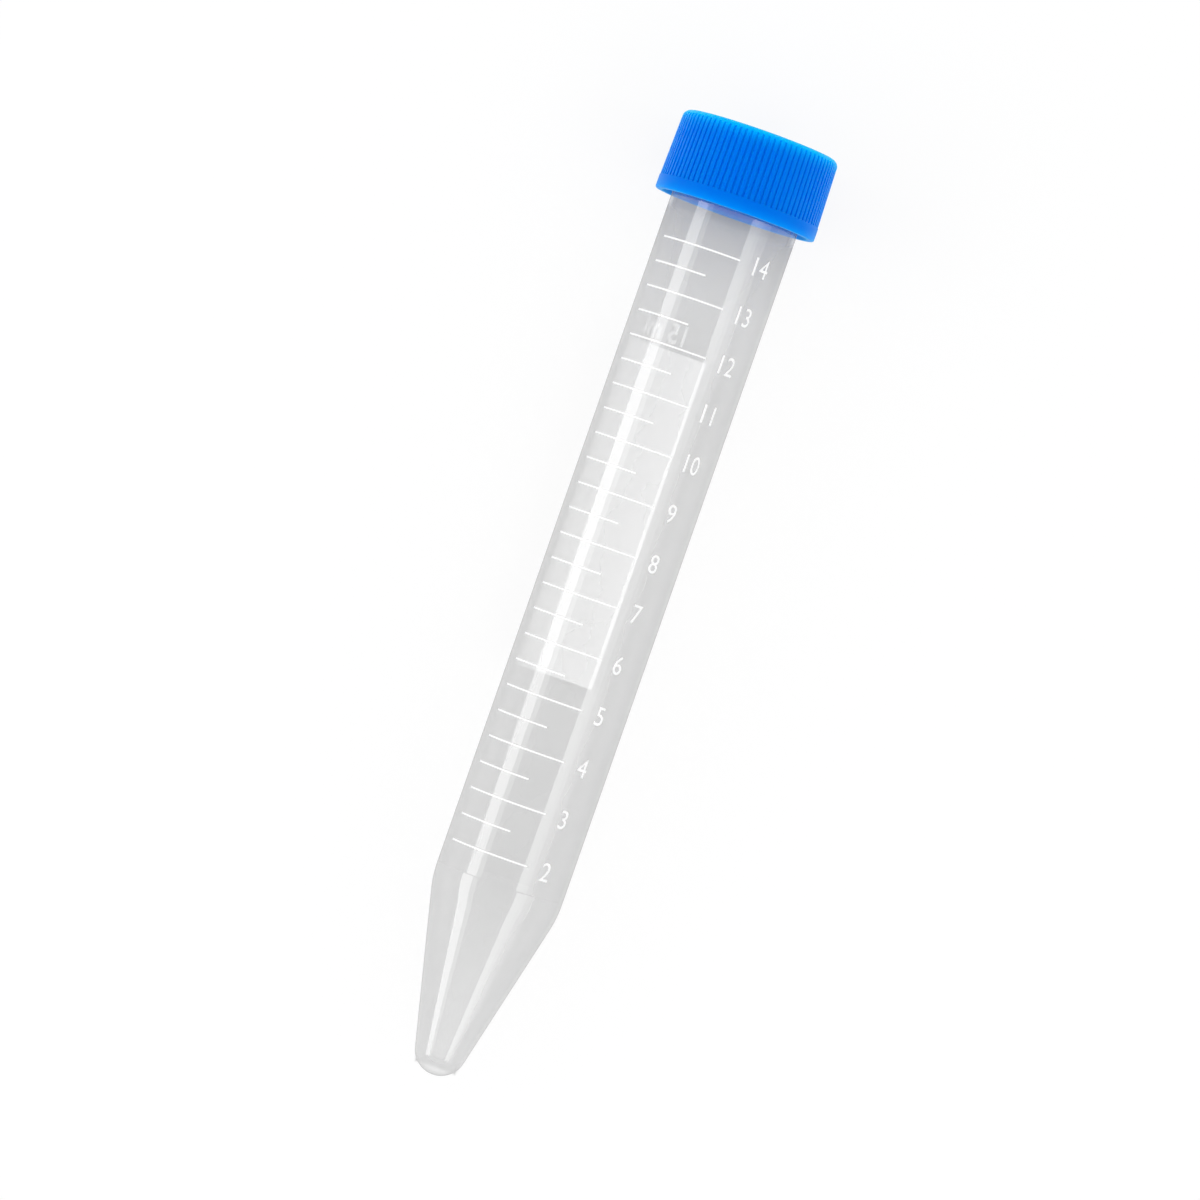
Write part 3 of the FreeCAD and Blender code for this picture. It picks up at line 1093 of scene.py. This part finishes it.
@dataclass
class BarrelPrint:
    """Words and numbers printed on the barrel, as a thin layer that follows it.

    Args:
        ink: The material of the print.
    """

    ink: bpy.types.Material
    radius: float = 8.0
    gap: float = 0.012  # between the barrel and the print
    thickness: float = 0.03
    stand_off: float = 1.0  # how far out a word stands before it is pressed on
    curve_steps: int = 4
    cuts: int = 2  # how finely a word's faces are cut, so that they bend
    barrel_steps: int = 720
    barrel_length: float = 200.0
    barrel_middle: float = 60.0
    number_start: float = 31.5
    number_height: float = 2.3
    capacity_start: float = 181.0
    capacity_foot: float = 93.1
    capacity_height: float = 2.6
    capacity_width: float = 6.7
    capacity_weight: float = 0.024
    marks: dict[int, float] = field(
        default_factory=lambda: {
            2: 27.96, 3: 34.59, 4: 41.17, 5: 47.71, 6: 54.20, 7: 60.66, 8: 67.07,
            9: 73.44, 10: 79.77, 11: 86.05, 12: 92.30, 13: 98.51, 14: 104.68,
        }
    )

    def word(
        self, text: str, height: float, width: float | None = None, weight: float = 0.0
    ) -> bpy.types.Object:
        """Write a flat word with its lower left corner at the origin.

        Args:
            text: The word.
            height: Height of its figures.
            width: Its width, or None to keep the font's own.
            weight: How far the strokes are thickened, as a share of the font's size.

        Returns:
            The word as a mesh, in the plane of X and Y.
        """
        deselect()
        bpy.ops.object.text_add(location=(0, 0, 0))
        obj = bpy.context.object
        obj.data.body = text
        obj.data.resolution_u = self.curve_steps
        obj.data.offset = weight
        bpy.ops.object.convert(target="MESH")
        obj = bpy.context.object
        places = [v.co.copy() for v in obj.data.vertices]
        left, right = min(p.x for p in places), max(p.x for p in places)
        foot, top = min(p.y for p in places), max(p.y for p in places)
        up = height / (top - foot)
        across = up if width is None else width / (right - left)
        obj.matrix_world = Matrix.Diagonal((across, up, 1, 1)) @ Matrix.Translation(
            (-left, -foot, 0)
        )
        settle()
        return obj

    def stand(self, obj: bpy.types.Object, start: float, foot: float) -> None:
        """Stand a flat word against the barrel.

        Args:
            obj: The word, with its lower left corner at the origin.
            start: Angle of its left edge, in degrees.
            foot: Height of its foot.
        """
        width = max(v.co.x for v in obj.data.vertices)
        angle = math.radians(start) + width / 2 / self.radius
        out = Vector((math.cos(angle), math.sin(angle), 0))
        right = Vector((-math.sin(angle), math.cos(angle), 0))
        turn = Matrix((right, Vector((0, 0, 1)), out)).transposed().to_4x4()
        spot = out * (self.radius + self.stand_off) + Vector((0, 0, foot))
        centre = Matrix.Translation((-width / 2, 0, 0))
        activate(obj)
        obj.matrix_world = Matrix.Translation(spot) @ turn @ centre
        settle()

    def wrap(self, obj: bpy.types.Object) -> None:
        """Press a word onto the barrel and give it its thickness.

        Args:
            obj: The word, standing against the barrel.
        """
        edit(obj)
        bpy.ops.mesh.select_all(action="SELECT")
        bpy.ops.mesh.subdivide(number_cuts=self.cuts)
        bpy.ops.object.mode_set(mode="OBJECT")
        bpy.ops.mesh.primitive_cylinder_add(
            vertices=self.barrel_steps,
            radius=self.radius + self.gap,
            depth=self.barrel_length,
            location=(0, 0, self.barrel_middle),
        )
        barrel = bpy.context.object
        hold = obj.modifiers.new("hold", "SHRINKWRAP")
        hold.target = barrel
        hold.wrap_method = "NEAREST_SURFACEPOINT"
        layer = obj.modifiers.new("layer", "SOLIDIFY")
        layer.thickness = self.thickness
        layer.offset = 1
        apply_modifiers(obj)
        bpy.data.objects.remove(barrel)
        dress(obj, self.ink)

    def numbers(self) -> bpy.types.Object:
        """Model the millilitre numbers.

        Returns:
            All the numbers as one piece, upright.
        """
        words = []
        for volume, height in self.marks.items():
            word = self.word(str(volume), self.number_height)
            self.stand(word, self.number_start, height - self.number_height / 2)
            words.append(word)
        deselect()
        for word in words:
            word.select_set(True)
        bpy.context.view_layer.objects.active = words[0]
        bpy.ops.object.join()
        words[0].name = words[0].data.name = "scale_figures"
        self.wrap(words[0])
        return words[0]

    def capacity(self) -> bpy.types.Object:
        """Model the nominal volume, printed on the back.

        Returns:
            The word as one piece, upright.
        """
        word = self.word(
            "15 ml", self.capacity_height, self.capacity_width, self.capacity_weight
        )
        self.stand(word, self.capacity_start, self.capacity_foot)
        word.name = word.data.name = "capacity_mark"
        self.wrap(word)
        return word


# ---------------- studio


@dataclass
class Softbox:
    """A long soft lamp beside the tube, parallel to it.

    Args:
        name: The lamp's name.
        low: Nearer edge's angle from straight above, in degrees; positive is the
            side of the numbers.
        high: Farther edge's angle.
        radiance: How bright its face is, where white paper is 1.
    """

    name: str
    low: float
    high: float
    radiance: float
    distance: float = 0.9
    length: float = 1.0
    along: float = -0.25  # towards the tip, because the cone reflects from there
    aim_height: float = 60.0  # upright height of the place that it faces

    def build(self, place: LyingPlace) -> None:
        """Hang the lamp.

        Args:
            place: Where the tube lies.
        """
        middle = math.radians((self.low + self.high) / 2)
        half = math.radians(abs(self.high - self.low) / 2)
        width = 2 * self.distance * math.tan(half)
        way = Vector((0, -math.sin(middle), math.cos(middle)))
        lamp = bpy.data.lights.new(self.name, "AREA")
        lamp.shape = "RECTANGLE"
        lamp.size, lamp.size_y = self.length, width
        lamp.energy = self.radiance * math.pi * self.length * width
        obj = bpy.data.objects.new(self.name, lamp)
        bpy.context.scene.collection.objects.link(obj)
        side = Vector((1, 0, 0))
        turn = Matrix((side, way.cross(side), way)).transposed().to_4x4()
        centre = place.point(0, 0, self.aim_height)
        obj.matrix_world = (
            Matrix.Translation(centre + way * self.distance + side * self.along) @ turn
        )


@dataclass
class Studio:
    """Floor, lamps, surroundings and camera."""

    floor_size: float = 8.0
    softboxes: tuple[tuple[str, float, float, float], ...] = (
        ("strip_softbox", -48, -69, 2.6),
        ("strip_softbox_fringe", -38, -48, 0.8),
        ("broad_softbox_1", 34, 47, 1.85),
        ("broad_softbox_2", 47, 55, 1.55),
        ("broad_softbox_3", 55, 63, 0.95),
        ("broad_softbox_4", 63, 72, 0.65),
    )
    surround: float = 0.90  # how bright the world is, where white paper is 1
    see_through: int = 32  # how many clear faces a ray may pass
    camera_distance: float = 0.70
    camera_height: float = 69.7  # upright height that the camera is square to
    aim_height: float = 60.82  # upright height in the middle of the view
    aim_side: float = 0.11  # millimetres from the axis to the middle of the view
    lean: float = 19.34  # degrees that the tube leans in the view
    lens: float = 173.9

    def lamps(self, place: LyingPlace) -> None:
        """Hang the lamps.

        Args:
            place: Where the tube lies.
        """
        for name, low, high, radiance in self.softboxes:
            Softbox(name, low, high, radiance).build(place)

    def surroundings(self) -> None:
        """Put a plain white world around the part."""
        world = bpy.data.worlds.new("surroundings")
        bpy.context.scene.world = world
        world.use_nodes = True
        background = world.node_tree.nodes["Background"]
        background.inputs["Color"].default_value = (1, 1, 1, 1)
        background.inputs["Strength"].default_value = self.surround

    def floor(self, place: LyingPlace) -> None:
        """Lay the floor under the part.

        Args:
            place: Where the tube lies.
        """
        deselect()
        bpy.ops.mesh.primitive_plane_add(size=self.floor_size, location=(0, 0, 0))
        floor = bpy.context.object
        floor.name = "floor"
        dress(floor, StudioWhite("studio_white", place.point(0, 0, 0).x).build())

    def camera(self, place: LyingPlace) -> None:
        """Set the camera, which looks down on the graduated front.

        Args:
            place: Where the tube lies.
        """
        lean = math.radians(self.lean)
        side = place.axis.cross(place.front)
        distance = self.camera_distance / METRE
        stand = place.point(distance, self.aim_side, self.camera_height)
        back = (stand - place.point(0, self.aim_side, self.aim_height)).normalized()
        right = place.axis * math.sin(lean) + side * math.cos(lean)
        right = (right - back * right.dot(back)).normalized()
        turn = Matrix((right, back.cross(right), back)).transposed().to_4x4()
        data = bpy.data.cameras.new("camera")
        data.lens = self.lens
        camera = bpy.data.objects.new("camera", data)
        bpy.context.scene.collection.objects.link(camera)
        camera.matrix_world = Matrix.Translation(stand) @ turn
        bpy.context.scene.camera = camera

    def build(self, place: LyingPlace) -> None:
        """Make the whole studio.

        Args:
            place: Where the tube lies.
        """
        self.lamps(place)
        self.surroundings()
        self.floor(place)
        self.camera(place)
        bpy.context.scene.view_settings.view_transform = "Standard"
        bpy.context.scene.cycles.transparent_max_bounces = self.see_through


# ---------------- main


def place_piece(
    obj: bpy.types.Object,
    place: LyingPlace,
    body: Body,
    replaced: tuple[str, ...] = (),
) -> None:
    """Lay a dressed piece down and tie it to its body.

    Args:
        obj: The upright piece.
        place: Where the tube lies.
        body: The body that it rides on.
        replaced: CAD nodes that it stands for.
    """
    place.lay(obj)
    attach(obj, body.value)
    if replaced:
        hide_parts(*replaced)
    LOG.info("%s: %d faces on %s", obj.name, len(obj.data.polygons), body.value)


def main() -> None:
    """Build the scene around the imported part."""
    logging.basicConfig(level=logging.INFO, format="%(message)s")
    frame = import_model()
    place = LyingPlace(frame["joints"])
    turn = math.asin(place.axis.z)
    tip = place.point(0, 0, 0)
    start = tip.x * math.cos(turn) + tip.z * math.sin(turn)
    cap = ScrewCap()

    clear = CloudyPlastic("cloudy_polypropylene", turn).build()
    bore = CloudyPlastic(
        "cloudy_bore", turn, clear=0.94, neck_clear=0.985, mirror_limit=0.0
    ).build()
    # the cap's thin rims get a painted glow of light coming through them
    blue = SatinPlastic(
        "blue_polyethylene", turn, (0.0, 0.175, 0.75), (0.0, 0.155, 0.70),
        sheen_tint=(0.0, 0.6, 1.0), edge=(0.0, 0.50, 1.0),
        top=start + (SEAT_HEIGHT + cap.height) * METRE,
        foot=start + SEAT_HEIGHT * METRE,
        lift=tip.z * math.cos(turn) - tip.x * math.sin(turn),
    ).build()
    liner = SatinPlastic(
        "white_liner", turn, (0.90, 0.90, 0.88), (0.84, 0.84, 0.82), roughness=0.6,
        depth_radius=(1.0, 1.0, 1.0),
    ).build()
    ink = PrintedInk("white_ink", turn).build()

    shell = TubeShell().build(clear, bore)
    place_piece(shell, place, Body.TUBE, ("tube",))
    place_piece(cap.build(blue), place, Body.CAP, ("cap",))
    barrel_print = BarrelPrint(ink)
    place_piece(barrel_print.numbers(), place, Body.TUBE, ("scale_numbers",))
    place_piece(barrel_print.capacity(), place, Body.TUBE)
    dress(frame["nodes"]["scale_lines"], ink)
    dress(frame["nodes"]["writing_panel"], ink)
    dress(frame["nodes"]["seal_disc"], liner)

    Studio().build(place)


if __name__ == "__main__":
    main()
